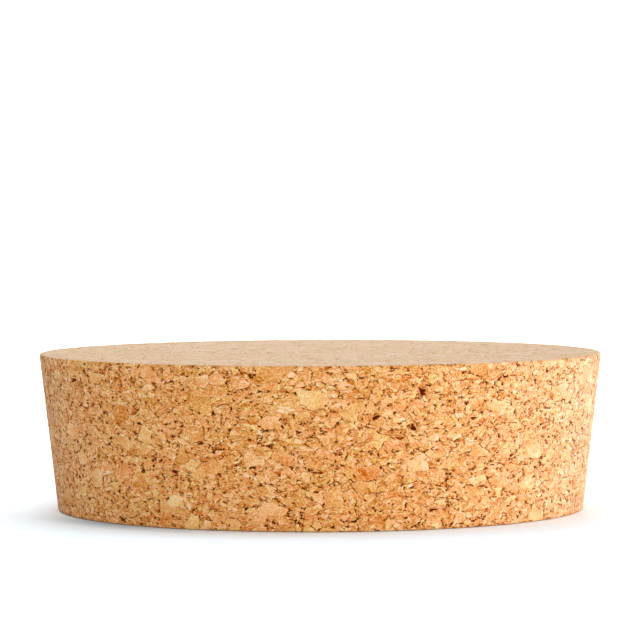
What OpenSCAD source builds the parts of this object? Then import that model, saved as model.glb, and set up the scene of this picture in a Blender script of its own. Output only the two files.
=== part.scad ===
// Tapered stopper for the mouth of a wide jar, turned in one piece from pressed cork granules.
// Millimetres, +Z up. The origin is the middle of the small end, which the stopper stands on.

/* [Stopper] */
// Diameter of the wide end, which stays above the jar's mouth
top_diameter = 108; // [40:0.5:200]
// How much less the small end measures across than the wide end
diameter_drop = 7; // [0:0.5:20]
// Height from the small end to the wide end
height = 30; // [10:0.5:80]

/* [Edges] */
// Radius that sanding leaves round the rim of the wide end
top_edge_radius = 0.4; // [0.1:0.05:2]
// Radius that sanding leaves round the rim of the small end
base_edge_radius = 0.4; // [0.1:0.05:2]

/* [Hidden] */
$fn = 96;

cork_colour = [0.87, 0.64, 0.40];
top_radius = top_diameter / 2;
base_radius = top_radius - diameter_drop / 2;
// Lean of the side away from upright: it widens upwards
taper_angle = atan2(top_radius - base_radius, height);
side_length = height / cos(taper_angle);
// The side meets the base at a blunt corner, and the top at a sharp one
base_corner = 90 + taper_angle;
top_corner = 90 - taper_angle;

// How far from a corner a rounding of this radius meets the corner's two sides
function setback(radius, corner) = radius / tan(corner / 2);

// Point of the slanting side, at this distance up it from the base's corner
function on_side(distance) =
    [base_radius + distance * sin(taper_angle), distance * cos(taper_angle)];

// Right half of the stopper's section. Each rim is a true arc, tangent to the end and the side.
module half_section() {
    base_setback = setback(base_edge_radius, base_corner);
    top_setback = setback(top_edge_radius, top_corner);
    polygon([
        [0, 0],
        [base_radius - base_setback, 0],
        on_side(base_setback),
        on_side(side_length - top_setback),
        [top_radius - top_setback, height],
        [0, height],
    ]);
    translate([base_radius - base_setback, base_edge_radius])
        circle(r = base_edge_radius);
    translate([top_radius - top_setback, height - top_edge_radius])
        circle(r = top_edge_radius);
}

module stopper() {
    color(cork_colour)
        rotate_extrude()
            half_section();
}

stopper();
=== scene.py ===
# Tapered stopper of pressed cork granules, standing on its small end on white studio paper.
# Metres, +Z up. The stopper's own frame is used throughout; its base stands at height 0.

import math

import bpy
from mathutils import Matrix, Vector


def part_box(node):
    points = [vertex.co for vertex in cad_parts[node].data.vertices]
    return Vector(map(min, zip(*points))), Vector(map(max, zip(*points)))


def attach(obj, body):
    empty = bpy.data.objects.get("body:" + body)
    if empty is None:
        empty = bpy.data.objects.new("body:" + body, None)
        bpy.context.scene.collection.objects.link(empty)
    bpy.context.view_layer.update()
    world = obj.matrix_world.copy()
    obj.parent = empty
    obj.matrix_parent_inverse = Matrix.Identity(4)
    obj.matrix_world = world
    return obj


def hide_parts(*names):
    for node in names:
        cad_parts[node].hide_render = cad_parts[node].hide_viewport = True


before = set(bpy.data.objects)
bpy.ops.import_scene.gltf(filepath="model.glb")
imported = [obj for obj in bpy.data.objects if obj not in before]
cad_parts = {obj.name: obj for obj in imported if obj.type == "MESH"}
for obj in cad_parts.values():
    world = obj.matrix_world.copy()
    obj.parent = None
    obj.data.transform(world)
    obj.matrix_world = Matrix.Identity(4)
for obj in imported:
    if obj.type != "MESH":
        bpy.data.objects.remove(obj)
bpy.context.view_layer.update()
stopper_low, stopper_high = (Vector(corner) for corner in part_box("stopper"))
height = stopper_high.z - stopper_low.z

# --- Camera ---------------------------------------------------------------------------------
# A long lens a little above the rim, level with a table, looks straight at the stopper's side.
# It sees the whole side, and the top only as a thin ellipse.
camera_distance = 0.6836
camera_height = 0.0622
camera_aside = 0.00007
camera_tilt = math.radians(2.19)
camera_roll = math.radians(0.19)
lens_millimetres = 200.0
sensor_millimetres = 36.0

camera_data = bpy.data.cameras.new("studio camera")
camera_data.sensor_width = sensor_millimetres
camera_data.lens = lens_millimetres
camera_data.clip_start = 0.01
camera_data.clip_end = 20.0
camera = bpy.data.objects.new("studio camera", camera_data)
camera.location = (camera_aside, -camera_distance, camera_height)
camera.rotation_euler = (math.radians(90.0) - camera_tilt, camera_roll, 0.0)
bpy.context.scene.collection.objects.link(camera)
bpy.context.scene.camera = camera

# --- Studio paper and light -----------------------------------------------------------------
# A wide sheet of white paper lies under the stopper before a white wall, both exposed to pure
# white. Soft boxes stand round them, and two long low lights stand on the right and behind it.
paper_size = 1.8
paper_white = (0.82, 0.85, 0.88, 1.0)
paper_exposed = (1.09, 1.23, 1.335, 1.0)
# Colour of the shadow painted on the paper next to the stopper.
paper_painted_shadow = (0.56, 0.69, 0.80, 1.0)
paper_burnt_out = (1.6, 1.6, 1.6, 1.0)
burnt_out = (0.07, 0.18)
# Where that painted shadow lies: how near the stopper, how far left and how far to the front.
painted_shadow_close = (0.050, 0.060)
painted_shadow_left = (-0.010, -0.042)
painted_shadow_front = (-0.012, -0.032)
wall_exposed = 1.10
room_glow = 0.05
white = (1.0, 1.0, 1.0)
cool_white = (0.94, 0.96, 1.14)
# Each light's name, width, height, power in watts, colour and place.
lamps = (
    ("strip light", 1.00, 0.10, 7.1, cool_white, Vector((1.00, 0.10, 0.05))),
    ("rim light", 0.80, 0.12, 2.3, cool_white, Vector((0.87, 0.50, 0.06))),
    ("right soft box", 0.50, 0.50, 2.6, white, Vector((0.72, -0.70, 0.15))),
    ("right high box", 0.50, 0.50, 1.4, white, Vector((0.57, 0.00, 0.82))),
    ("left soft box", 0.50, 0.50, 1.5, white, Vector((-1.00, 0.00, 0.15))),
    ("front low box", 0.50, 0.30, 2.8, white, Vector((0.00, -0.98, 0.19))),
    ("front high box", 0.50, 0.50, 1.5, white, Vector((0.00, -0.87, 0.50))),
    ("back soft box", 0.50, 0.50, 3.8, white, Vector((0.00, 0.87, 0.50))),
    ("top soft box", 1.00, 1.00, 7.0, white, Vector((-0.10, 0.25, 1.00))),
)


def put(tree, kind, inputs=(), **settings):
    """Places a node, sets its settings, and links or sets its inputs, named or by number."""
    node = tree.nodes.new(kind)
    for name, value in settings.items():
        setattr(node, name, value)
    for key, value in dict(inputs).items():
        socket = node.inputs[key]
        if isinstance(value, bpy.types.NodeSocket):
            tree.links.new(value, socket)
        else:
            socket.default_value = value
    return node


def ramp(tree, value, start, end, low=0.0, high=1.0, smooth=True):
    node = put(
        tree,
        "ShaderNodeMapRange",
        {"Value": value, "From Min": start, "From Max": end, "To Min": low, "To Max": high},
        interpolation_type="SMOOTHSTEP" if smooth else "LINEAR",
    )
    return node.outputs["Result"]


def tint(tree, share, first, second, way="MIX"):
    node = put(
        tree,
        "ShaderNodeMix",
        {0: share, 6: first, 7: second},
        data_type="RGBA",
        blend_type=way,
    )
    return node.outputs[2]


bpy.ops.object.select_all(action="DESELECT")
bpy.ops.mesh.primitive_plane_add(size=paper_size, location=(0.0, 0.0, 0.0))
paper = bpy.context.object
paper.name = "studio_paper"

# The paper is seen a little cool near the stopper, against the warm light off the cork. A shadow
# is painted into its seen colour close to the stopper at the front left, the side away from the
# long lights.
paper_finish = bpy.data.materials.new("white paper")
paper_finish.use_nodes = True
tree = paper_finish.node_tree
tree.nodes.remove(tree.nodes["Principled BSDF"])
place = put(tree, "ShaderNodeTexCoord").outputs["Object"]
from_stopper = put(tree, "ShaderNodeVectorMath", {0: place}, operation="LENGTH")
from_stopper = from_stopper.outputs["Value"]
place_parts = put(tree, "ShaderNodeSeparateXYZ", {0: place}).outputs
seen_colour = tint(tree, ramp(tree, from_stopper, *burnt_out), paper_exposed, paper_burnt_out)
# Painted shadow: a darker seen colour close to the stopper, to its left and to its front.
painted_shade = ramp(tree, from_stopper, *painted_shadow_close, 1.0, 0.0)
painted_shade = ramp(tree, place_parts["X"], *painted_shadow_left, 0.0, painted_shade)
painted_shade = ramp(tree, place_parts["Y"], *painted_shadow_front, 0.0, painted_shade)
seen_colour = tint(tree, painted_shade, seen_colour, paper_painted_shadow)
seen = put(tree, "ShaderNodeLightPath").outputs["Is Camera Ray"]
paper_colour = tint(tree, seen, paper_white, seen_colour)
matt = put(tree, "ShaderNodeBsdfDiffuse", {"Color": paper_colour})
tree.links.new(matt.outputs["BSDF"], tree.nodes["Material Output"].inputs["Surface"])
paper.data.materials.append(paper_finish)

room = bpy.data.worlds.new("white room")
room.use_nodes = True
tree = room.node_tree
seen = put(tree, "ShaderNodeLightPath").outputs["Is Camera Ray"]
glow = ramp(tree, seen, 0.0, 1.0, room_glow, wall_exposed, smooth=False)
tree.links.new(glow, tree.nodes["Background"].inputs["Strength"])
tree.nodes["Background"].inputs["Color"].default_value = (1.0, 1.0, 1.0, 1.0)
bpy.context.scene.world = room

for lamp_name, lamp_width, lamp_height, lamp_power, lamp_colour, lamp_place in lamps:
    lamp_data = bpy.data.lights.new(lamp_name, "AREA")
    lamp_data.shape = "RECTANGLE"
    lamp_data.size = lamp_width
    lamp_data.size_y = lamp_height
    lamp_data.energy = lamp_power
    lamp_data.color = lamp_colour
    lamp = bpy.data.objects.new(lamp_name, lamp_data)
    lamp.location = lamp_place
    aim = Vector((0.0, 0.0, height / 2)) - lamp_place
    lamp.rotation_euler = aim.to_track_quat("-Z", "Y").to_euler()
    lamp.visible_camera = False
    bpy.context.scene.collection.objects.link(lamp)

bpy.context.scene.view_settings.view_transform = "Standard"
bpy.context.scene.view_settings.look = "None"

# --- Stopper --------------------------------------------------------------------------------
# One turned and sanded block of ground cork, pressed with a little binder. It is granules from
# dust up to 6 mm, with dark gaps where they don't meet and small pits where a crumb came out.
side_lean = 0.0035
rim_radius = 0.0004
rim_segments = 4
side_faces = 360
taper = math.atan2(side_lean, height)
wide_setback = rim_radius / math.tan((math.pi / 2 - taper) / 2)
small_setback = rim_radius / math.tan((math.pi / 2 + taper) / 2)
wide_radius = stopper_high.x + wide_setback - rim_radius
small_radius = wide_radius - side_lean

bpy.ops.object.select_all(action="DESELECT")
bpy.ops.mesh.primitive_cone_add(
    vertices=side_faces,
    radius1=small_radius,
    radius2=wide_radius,
    depth=height,
    end_fill_type="NGON",
    location=(0.0, 0.0, height / 2),
)
stopper = bpy.context.object
stopper.name = "cork_stopper"
bpy.ops.object.transform_apply(location=True)


def round_rim(rim_height, setback):
    for edge in stopper.data.edges:
        ends = [stopper.data.vertices[i].co.z for i in edge.vertices]
        edge.select = all(abs(z - rim_height) < 1e-6 for z in ends)
    bpy.ops.object.mode_set(mode="EDIT")
    bpy.ops.mesh.bevel(
        offset=setback, offset_type="OFFSET", segments=rim_segments, affect="EDGES"
    )
    bpy.ops.mesh.select_all(action="DESELECT")
    bpy.ops.object.mode_set(mode="OBJECT")


bpy.ops.object.mode_set(mode="EDIT")
bpy.ops.mesh.select_mode(type="EDGE")
bpy.ops.mesh.select_all(action="DESELECT")
bpy.ops.object.mode_set(mode="OBJECT")
round_rim(0.0, small_setback)
round_rim(height, wide_setback)

# The granules lie in three sizes, each inside the next: cells to a millimetre, the share of
# them that stays whole, and how far the cracks round them open, in millimetres, from where the
# binder holds best to where it holds least.
big_cells = 0.27
medium_cells = 0.60
crumb_cells = 1.30
whole_big_share = 0.16
whole_medium_share = 0.50
big_crack = (0.36, 0.72, -0.10, 0.15)
medium_crack = (0.38, 0.74, -0.10, 0.13)
crumb_crack = (0.42, 0.78, -0.08, 0.095)
lost_crumb_share = 0.06
lost_chip_draw = 0.46
lost_chip_reach = 0.009
# The block was pressed along its height, so the granules lie flat, and each is a long sliver.
pressed_flat = (1000.0, 1000.0, 1450.0)
sliver = (1.0, 1.6, 0.8)
full_turn = 6.283


def maths(tree, operation, *values):
    return put(tree, "ShaderNodeMath", enumerate(values), operation=operation).outputs[0]


def vectors(tree, operation, *values):
    return put(tree, "ShaderNodeVectorMath", enumerate(values), operation=operation).outputs[0]


def scaled(tree, vector, amount):
    node = put(tree, "ShaderNodeVectorMath", {0: vector, "Scale": amount}, operation="SCALE")
    return node.outputs[0]


def blend_values(tree, share, first, second):
    node = put(tree, "ShaderNodeMix", {0: share, 2: first, 3: second}, data_type="FLOAT")
    return node.outputs[0]


def blend_vectors(tree, share, first, second):
    node = put(tree, "ShaderNodeMix", {0: share, 4: first, 5: second}, data_type="VECTOR")
    return node.outputs[1]


def noise(tree, place, scale, detail=2.0, rough=0.5, output="Fac"):
    node = put(
        tree,
        "ShaderNodeTexNoise",
        {"Vector": place, "Scale": scale, "Detail": detail, "Roughness": rough},
    )
    return node.outputs[output]


def wobble(tree, place, scale, detail, reach):
    """A vector that wanders from place to place, up to half of its reach each way."""
    wander = noise(tree, place, scale, detail, output="Color")
    return scaled(tree, vectors(tree, "SUBTRACT", wander, (0.5, 0.5, 0.5)), reach)


def cells(tree, place, scale):
    """Cells of this many per millimetre: their random colour, middle, and distance to the edge."""
    body = put(tree, "ShaderNodeTexVoronoi", {"Vector": place, "Scale": scale})
    wall = put(
        tree,
        "ShaderNodeTexVoronoi",
        {"Vector": place, "Scale": scale},
        feature="DISTANCE_TO_EDGE",
    )
    edge = maths(tree, "DIVIDE", wall.outputs["Distance"], scale)
    return body.outputs["Color"], body.outputs["Position"], edge


def one_value(tree, vector, axis):
    return put(tree, "ShaderNodeSeparateXYZ", {0: vector}).outputs[axis]


def turned(tree, place, middle, chance):
    """Place measured from a granule's middle, turned by that granule's own chance."""
    node = put(
        tree,
        "ShaderNodeVectorRotate",
        {
            "Vector": vectors(tree, "SUBTRACT", place, middle),
            "Rotation": scaled(tree, chance, full_turn),
        },
        rotation_type="EULER_XYZ",
    )
    return node.outputs[0]


def inside(tree, local, chance, spread):
    """A granule's own inner space, drawn out as a sliver and unlike its neighbours'."""
    drawn_out = vectors(tree, "MULTIPLY", local, sliver)
    return vectors(tree, "ADD", drawn_out, scaled(tree, chance, spread))


def mixed_chances(tree, *chances):
    total = (0.0, 0.0, 0.0)
    for chance, share in chances:
        total = vectors(tree, "MULTIPLY_ADD", chance, (share, share, share), total)
    return total


def draw(tree, chance):
    return put(tree, "ShaderNodeTexWhiteNoise", {"Vector": chance}).outputs["Value"]


def press_granules(kind):
    """A node group of this kind: the granules at a place, in shading and in shaping alike."""
    tree = bpy.data.node_groups.new("pressed granules", kind)
    tree.interface.new_socket("Place", in_out="INPUT", socket_type="NodeSocketVector")
    for name in ("Chance", "Local"):
        tree.interface.new_socket(name, in_out="OUTPUT", socket_type="NodeSocketVector")
    for name in ("Crack", "Edge", "Missing", "Step"):
        tree.interface.new_socket(name, in_out="OUTPUT", socket_type="NodeSocketFloat")
    start = tree.nodes.new("NodeGroupInput")
    end = tree.nodes.new("NodeGroupOutput")

    flattened = vectors(tree, "MULTIPLY", start.outputs["Place"], pressed_flat)
    bent = wobble(tree, flattened, 0.45, 1.0, 1.4)
    frayed = wobble(tree, flattened, 3.0, 3.0, 0.40)
    place = vectors(tree, "ADD", vectors(tree, "ADD", flattened, bent), frayed)

    chance_1, middle_1, edge_1 = cells(tree, place, big_cells)
    local_1 = turned(tree, place, middle_1, chance_1)
    inside_1 = inside(tree, local_1, chance_1, 57.0)
    chance_2, middle_2, edge_2 = cells(tree, inside_1, medium_cells)
    local_2 = turned(tree, inside_1, middle_2, chance_2)
    inside_2 = inside(tree, local_2, chance_2, 41.0)
    chance_3, middle_3, edge_3 = cells(tree, inside_2, crumb_cells)
    local_3 = vectors(tree, "SUBTRACT", inside_2, middle_3)

    draw_2 = draw(tree, chance_2)
    whole_1 = maths(tree, "LESS_THAN", draw(tree, chance_1), whole_big_share)
    whole_2 = maths(tree, "LESS_THAN", draw_2, whole_medium_share)
    whole_2 = maths(tree, "MAXIMUM", whole_1, whole_2)

    # A granule's look is mostly its own chance, and partly that of the pieces round and in it.
    crumb = mixed_chances(tree, (chance_1, 0.10), (chance_2, 0.32), (chance_3, 0.58))
    medium = mixed_chances(tree, (chance_1, 0.08), (chance_2, 0.66), (chance_3, 0.26))
    big = mixed_chances(tree, (chance_1, 0.52), (chance_2, 0.26), (chance_3, 0.22))
    chance = blend_vectors(tree, whole_2, crumb, medium)
    chance = blend_vectors(tree, whole_1, chance, big)
    local = blend_vectors(tree, whole_2, local_3, local_2)
    local = blend_vectors(tree, whole_1, local, local_1)

    # Where granules don't quite meet, a crack runs along their edge; elsewhere they are closed.
    openness = noise(tree, flattened, 1.0, 3.0, 0.65)
    crack_1 = maths(tree, "SUBTRACT", ramp(tree, openness, *big_crack), edge_1)
    crack_2 = maths(tree, "SUBTRACT", ramp(tree, openness, *medium_crack), edge_2)
    crack_2 = blend_values(tree, whole_1, crack_2, -1.0)
    crack_3 = maths(tree, "SUBTRACT", ramp(tree, openness, *crumb_crack), edge_3)
    crack_3 = blend_values(tree, whole_2, crack_3, -1.0)
    crack = maths(tree, "MAXIMUM", crack_1, maths(tree, "MAXIMUM", crack_2, crack_3))
    edge_2 = blend_values(tree, whole_1, edge_2, 10.0)
    edge_3 = blend_values(tree, whole_2, edge_3, 10.0)
    edge = maths(tree, "MINIMUM", edge_1, maths(tree, "MINIMUM", edge_2, edge_3))

    # Here and there a crumb or a whole chip came out and left a pit.
    crumb_gone = maths(tree, "LESS_THAN", one_value(tree, chance_3, 1), lost_crumb_share)
    crumb_gone = maths(tree, "MULTIPLY", crumb_gone, maths(tree, "SUBTRACT", 1.0, whole_2))
    chip_gone = maths(tree, "COMPARE", draw_2, lost_chip_draw, lost_chip_reach)
    chip_gone = maths(tree, "MULTIPLY", chip_gone, maths(tree, "SUBTRACT", 1.0, whole_1))
    chip_edge = maths(tree, "SUBTRACT", maths(tree, "MINIMUM", edge_1, edge_2), 0.22)
    missing = maths(tree, "MULTIPLY", crumb_gone, maths(tree, "SUBTRACT", edge, 0.04))
    missing = maths(tree, "MAXIMUM", missing, maths(tree, "MULTIPLY", chip_gone, chip_edge))

    # Each granule's face stands at its own height and slope.
    slope = maths(tree, "MULTIPLY", one_value(tree, local, 0), 0.05)
    rise = maths(tree, "MULTIPLY", one_value(tree, chance, 1), 0.08)
    step = maths(tree, "ADD", slope, rise)

    tree.links.new(chance, end.inputs["Chance"])
    tree.links.new(local, end.inputs["Local"])
    tree.links.new(crack, end.inputs["Crack"])
    tree.links.new(edge, end.inputs["Edge"])
    tree.links.new(missing, end.inputs["Missing"])
    tree.links.new(step, end.inputs["Step"])
    return tree


# The sanded skin is cut into a fine even mesh, its granules and pits are sunk into it, and the
# mesh is then thinned where it is flat. Depths are in millimetres, half as deep on the ends.
skin_grid = 0.00020
kept_share = 0.125
sunk_share = 0.5
flush_step = 0.10
pit_depth = 0.75
crack_depth = 0.30
side_depth_scale = 0.001
end_depth_scale = 0.0005

remesh = stopper.modifiers.new("even grid", "REMESH")
remesh.mode = "VOXEL"
remesh.voxel_size = skin_grid
remesh.use_smooth_shade = True
bpy.ops.object.modifier_apply(modifier=remesh.name)

shape = bpy.data.node_groups.new("sunken granules", "GeometryNodeTree")
shape.interface.new_socket("Geometry", in_out="INPUT", socket_type="NodeSocketGeometry")
shape.interface.new_socket("Geometry", in_out="OUTPUT", socket_type="NodeSocketGeometry")
shape_in = shape.nodes.new("NodeGroupInput")
shape_out = shape.nodes.new("NodeGroupOutput")
position = put(shape, "GeometryNodeInputPosition").outputs[0]
normal = put(shape, "GeometryNodeInputNormal").outputs[0]
kept_place = put(
    shape,
    "GeometryNodeStoreNamedAttribute",
    {"Geometry": shape_in.outputs[0], "Name": "skin", "Value": position},
    data_type="FLOAT_VECTOR",
    domain="POINT",
)
skin_place = put(
    shape,
    "GeometryNodeInputNamedAttribute",
    {"Name": "skin"},
    data_type="FLOAT_VECTOR",
).outputs[0]
granules = put(
    shape,
    "GeometryNodeGroup",
    {"Place": skin_place},
    node_tree=press_granules("GeometryNodeTree"),
)
below_flush = maths(shape, "SUBTRACT", granules.outputs["Step"], flush_step)
sunk = maths(shape, "MULTIPLY", maths(shape, "MINIMUM", below_flush, 0.0), sunk_share)
pit = ramp(shape, granules.outputs["Missing"], -0.02, 0.26, 0.0, pit_depth, smooth=False)
groove = ramp(shape, granules.outputs["Crack"], -0.04, 0.12, 0.0, crack_depth)
depth = maths(shape, "SUBTRACT", maths(shape, "SUBTRACT", sunk, pit), groove)
from_middle = maths(shape, "SUBTRACT", one_value(shape, skin_place, 2), height / 2)
from_middle = maths(shape, "ABSOLUTE", from_middle)
scale = ramp(shape, from_middle, 0.0146, 0.0149, side_depth_scale, end_depth_scale)
depth = maths(shape, "MULTIPLY", depth, scale)
moved = put(
    shape,
    "GeometryNodeSetPosition",
    {"Geometry": kept_place.outputs[0], "Offset": scaled(shape, normal, depth)},
)
shape.links.new(moved.outputs[0], shape_out.inputs[0])

sink = stopper.modifiers.new("sunken granules", "NODES")
sink.node_group = shape
bpy.ops.object.modifier_apply(modifier=sink.name)

thin = stopper.modifiers.new("thinned where flat", "DECIMATE")
thin.ratio = kept_share
bpy.ops.object.modifier_apply(modifier=thin.name)

# The skin is laid out flat: the side as two strips, the left half's and the right half's, and the
# two ends as discs above them, all inside one sheet.
sheet_width = 0.1740
sheet_height = 0.1570
sheet_margin = 0.0010
disc_scale = 0.81
strip_rise = 0.0325
strip_length = math.pi * wide_radius
disc_row = 2 * strip_rise + sheet_margin + disc_scale * wide_radius
wide_disc = (sheet_margin + disc_scale * wide_radius, disc_row)
small_disc = (sheet_width - sheet_margin - disc_scale * small_radius, disc_row)
end_depth = rim_radius * 0.15
wide_flat_radius = stopper_high.x - 1.05 * rim_radius
small_flat_radius = small_radius - 0.05 * rim_radius


def on_sheet(place, middle):
    """Where a corner of a face lies on the flat sheet; the face's middle says on which part."""
    middle_radius = math.hypot(middle.x, middle.y)
    if middle.z > height - end_depth and middle_radius < wide_flat_radius:
        across = wide_disc[0] + disc_scale * place.x
        up = wide_disc[1] + disc_scale * place.y
    elif middle.z < end_depth and middle_radius < small_flat_radius:
        across = small_disc[0] + disc_scale * place.x
        up = small_disc[1] - disc_scale * place.y
    else:
        face_turn = math.atan2(middle.y, middle.x)
        turn = math.atan2(place.y, place.x)
        turn += 2 * math.pi * round((face_turn - turn) / (2 * math.pi))
        strip = 0 if face_turn < 0.0 else 1
        along = turn + math.pi if strip == 0 else turn
        side_radius = small_radius + rim_radius + side_lean * place.z / height
        inward = max(side_radius - math.hypot(place.x, place.y), 0.0)
        across = sheet_margin + along / math.pi * strip_length
        up = sheet_margin + strip * strip_rise + place.z
        up += math.copysign(inward, place.z - height / 2)
    return (across / sheet_width, up / sheet_height)


skin_places = [entry.vector.copy() for entry in stopper.data.attributes["skin"].data]
sheet_map = stopper.data.uv_layers.new(name="OFBake")
for face in stopper.data.polygons:
    middle = sum((skin_places[i] for i in face.vertices), Vector()) / len(face.vertices)
    for loop_index in face.loop_indices:
        vertex_index = stopper.data.loops[loop_index].vertex_index
        sheet_map.uv[loop_index].vector = on_sheet(skin_places[vertex_index], middle)

# Lightness runs from 0 for the dark inside of a gap to 1; granules lie between two values.
dark_granule = 0.620
pale_granule = 0.810
middle_light = 0.68
cork_shades = (
    (0.100, (0.100, 0.014, 0.000)),
    (0.245, (0.212, 0.029, 0.000)),
    (0.370, (0.390, 0.078, 0.000)),
    (0.446, (0.530, 0.122, 0.000)),
    (0.508, (0.615, 0.169, 0.003)),
    (0.567, (0.690, 0.222, 0.016)),
    (0.659, (0.790, 0.323, 0.058)),
    (0.734, (0.885, 0.430, 0.112)),
    (0.800, (0.950, 0.537, 0.193)),
    (0.860, (0.965, 0.655, 0.340)),
)
pink_to_ochre = (
    (0.15, (1.035, 0.915, 0.98)),
    (0.50, (1.00, 1.00, 1.00)),
    (0.85, (0.96, 1.05, 0.84)),
)
cream_flake = (0.95, 0.71, 0.46, 1.0)
sanded_end_and_painted_sheen = (0.745, 1.090, 2.66, 1.0)


def colour_steps(tree, value, steps):
    node = put(tree, "ShaderNodeValToRGB", {"Fac": value})
    bar = node.color_ramp
    while len(bar.elements) < len(steps):
        bar.elements.new(0.5)
    for element, (at, colour) in zip(bar.elements, steps):
        element.position = at
        element.color = (*colour, 1.0)
    return node.outputs["Color"]


def add(tree, total, part, amount):
    return maths(tree, "MULTIPLY_ADD", part, amount, total)


def add_pattern(tree, total, pattern, amount):
    return add(tree, total, maths(tree, "SUBTRACT", pattern, 0.5), amount)


def less_on_ends(tree, value, cut):
    return maths(tree, "MULTIPLY", value, maths(tree, "MULTIPLY_ADD", on_end, -cut, 1.0))


cork = bpy.data.materials.new("pressed cork")
cork.use_nodes = True
tree = cork.node_tree
shader = tree.nodes["Principled BSDF"]
skin = put(tree, "ShaderNodeAttribute", attribute_name="skin").outputs["Vector"]
mm = scaled(tree, skin, 1000.0)
granule = put(
    tree,
    "ShaderNodeGroup",
    {"Place": skin},
    node_tree=press_granules("ShaderNodeTree"),
).outputs
tone = one_value(tree, granule["Chance"], 0)
hue = one_value(tree, granule["Chance"], 1)
rarity = one_value(tree, granule["Chance"], 2)

streaks = noise(tree, vectors(tree, "MULTIPLY", granule["Local"], (1.2, 5.0, 5.0)), 1.0, 2.0, 0.6)
speckle = noise(tree, mm, 4.0, 2.0, 0.7)
mottle = noise(tree, mm, 1.4, 2.0, 0.6)
crumb_shift = scaled(tree, noise(tree, mm, 3.2, 0.0, output="Color"), 0.5)
crumb_place = vectors(tree, "ADD", mm, crumb_shift)
crumbs = put(tree, "ShaderNodeTexVoronoi", {"Vector": crumb_place, "Scale": 3.4})
crumbs = one_value(tree, crumbs.outputs["Color"], 0)

# The ends are sanded flat, which leaves them smoother than the side. Their paler, less orange
# colour is partly the sanding and partly a painted sheen, the pale reflection along them.
from_middle = maths(tree, "SUBTRACT", one_value(tree, mm, 2), 1000.0 * height / 2)
on_end = ramp(tree, maths(tree, "ABSOLUTE", from_middle), 14.84, 14.97)

# Each granule has its own lightness, with its grain, specks and crumbs in it. A few are dark
# bark, and some are pale flakes.
light = ramp(tree, tone, 0.15, 0.85, dark_granule, pale_granule, smooth=False)
light = add_pattern(tree, light, streaks, 0.24)
light = add_pattern(tree, light, speckle, 0.58)
light = add_pattern(tree, light, mottle, 0.09)
light = add_pattern(tree, light, crumbs, 0.12)
light = add(tree, light, one_value(tree, granule["Local"], 0), 0.03)
bark = ramp(tree, rarity, 0.22, 0.20)
flake = ramp(tree, rarity, 0.80, 0.82)
white_flake = ramp(tree, rarity, 0.900, 0.912)
light = add(tree, light, bark, -0.13)
light = add(tree, light, flake, 0.12)
light = add(tree, light, white_flake, 0.10)
even_light = maths(tree, "SUBTRACT", light, middle_light)
even_light = maths(tree, "MULTIPLY_ADD", even_light, 0.25, middle_light)
light = blend_values(tree, on_end, light, even_light)

# A painted highlight makes the edge of a granule pale; beside it a painted shade darkens the
# surface, then the crack. Closed seams are only a little darker. Cracks and pits are dark gaps,
# made darker still with painted shade, and pits are darkest in the middle.
painted_edge_highlight = ramp(tree, granule["Crack"], -0.28, -0.20)
painted_edge_highlight = maths(tree, "MULTIPLY", painted_edge_highlight, ramp(tree, granule["Crack"], -0.17, -0.11, 1.0, 0.0))
painted_shade = ramp(tree, granule["Crack"], -0.16, 0.0)
seam = ramp(tree, granule["Edge"], 0.01, 0.07, 1.0, 0.0)
crack = ramp(tree, granule["Crack"], -0.02, 0.04)
pit = ramp(tree, granule["Missing"], 0.0, 0.06)
deep_pit = ramp(tree, granule["Missing"], 0.06, 0.22)
# Painted highlight and painted shade, with the seams' own darkness, summed into one change of
# lightness.
gaps_and_painted_light = maths(tree, "MULTIPLY", painted_edge_highlight, 0.06)
gaps_and_painted_light = add(tree, gaps_and_painted_light, painted_shade, -0.09)
gaps_and_painted_light = add(tree, gaps_and_painted_light, seam, -0.05)
gaps_and_painted_light = add(tree, gaps_and_painted_light, crack, -0.60)
gaps_and_painted_light = add(tree, gaps_and_painted_light, pit, -0.34)
gaps_and_painted_light = add(tree, gaps_and_painted_light, deep_pit, -0.24)
light = maths(tree, "ADD", light, less_on_ends(tree, gaps_and_painted_light, 0.55))

cork_colour = colour_steps(tree, light, cork_shades)
hue_shift = colour_steps(tree, hue, pink_to_ochre)
cork_colour = tint(tree, 1.0, cork_colour, hue_shift, "MULTIPLY")
whitened = maths(tree, "MULTIPLY", white_flake, ramp(tree, light, 0.55, 0.85))
cork_colour = tint(tree, less_on_ends(tree, whitened, 0.8), cork_colour, cream_flake)
# Painted sheen: the ends' tint pales them and takes out orange, partly for their own sanding.
end_colour_with_painted_sheen = tint(tree, 1.0, cork_colour, sanded_end_and_painted_sheen, "MULTIPLY")
cork_colour = tint(tree, on_end, cork_colour, end_colour_with_painted_sheen)
tree.links.new(cork_colour, shader.inputs["Base Color"])

rise = maths(tree, "MULTIPLY", granule["Step"], 0.8)
rise = add(tree, rise, maths(tree, "MAXIMUM", crack, pit), -0.08)
rise = less_on_ends(tree, add(tree, rise, speckle, 0.06), 0.85)
relief = put(tree, "ShaderNodeBump", {"Height": rise, "Strength": 1.0, "Distance": 0.001})
tree.links.new(relief.outputs["Normal"], shader.inputs["Normal"])

# The sanded faces have a dull sheen of their own, which the gaps and pits don't.
sanded = less_on_ends(tree, ramp(tree, light, 0.46, 0.66), 0.7)
tree.links.new(sanded, shader.inputs["Coat Weight"])
shader.inputs["Roughness"].default_value = 0.65
shader.inputs["Specular IOR Level"].default_value = 0.08
shader.inputs["Coat Roughness"].default_value = 0.65
shader.inputs["Coat IOR"].default_value = 1.6
stopper.data.materials.append(cork)

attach(stopper, "root")
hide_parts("stopper")
